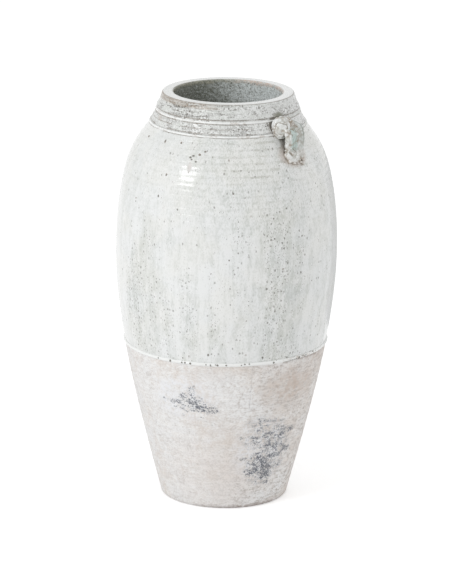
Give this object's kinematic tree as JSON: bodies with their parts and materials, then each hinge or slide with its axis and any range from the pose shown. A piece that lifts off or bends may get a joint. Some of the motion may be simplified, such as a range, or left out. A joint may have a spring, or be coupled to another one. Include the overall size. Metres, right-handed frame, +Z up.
{
  "type": "amphora vase",
  "caption": "Tall egg-shaped stoneware jar with a narrow foot, a short collared neck and small cord lugs at the shoulder, glazed pale grey-green above a bare clay base.",
  "frame": {"origin": "centre of the foot, in the plane that the jar stands on", "axes": "+Z up along the jar's axis to the mouth, the two lugs along +X and -X"},
  "size_m": [0.316, 0.316, 0.59],
  "materials": {
    "glaze": "glossy pale grey-green glaze with iron specks",
    "thin_glaze": "thin satin glaze, greyer where it broke over the neck and lugs",
    "thick_glaze": "thick white roll where the glaze stopped running",
    "bare_clay": "matt bare stoneware, dusty, with grey and brown stains"
  },
  "bodies": {
    "root": {"foot_slab": "bare_clay", "lower_wall": "bare_clay", "belly_wall": "glaze", "shoulder_wall": "glaze", "lip_roll": "glaze", "neck_ring": "thin_glaze", "collar_band": "thin_glaze", "lower_cordon": "glaze", "upper_cordon": "glaze", "glaze_roll": "thick_glaze", "right_lug_head": "thin_glaze", "right_lug_strap": "thin_glaze", "right_lug_tail": "thin_glaze", "left_lug_head": "thin_glaze", "left_lug_strap": "thin_glaze", "left_lug_tail": "thin_glaze"}
  },
  "joints": []
}
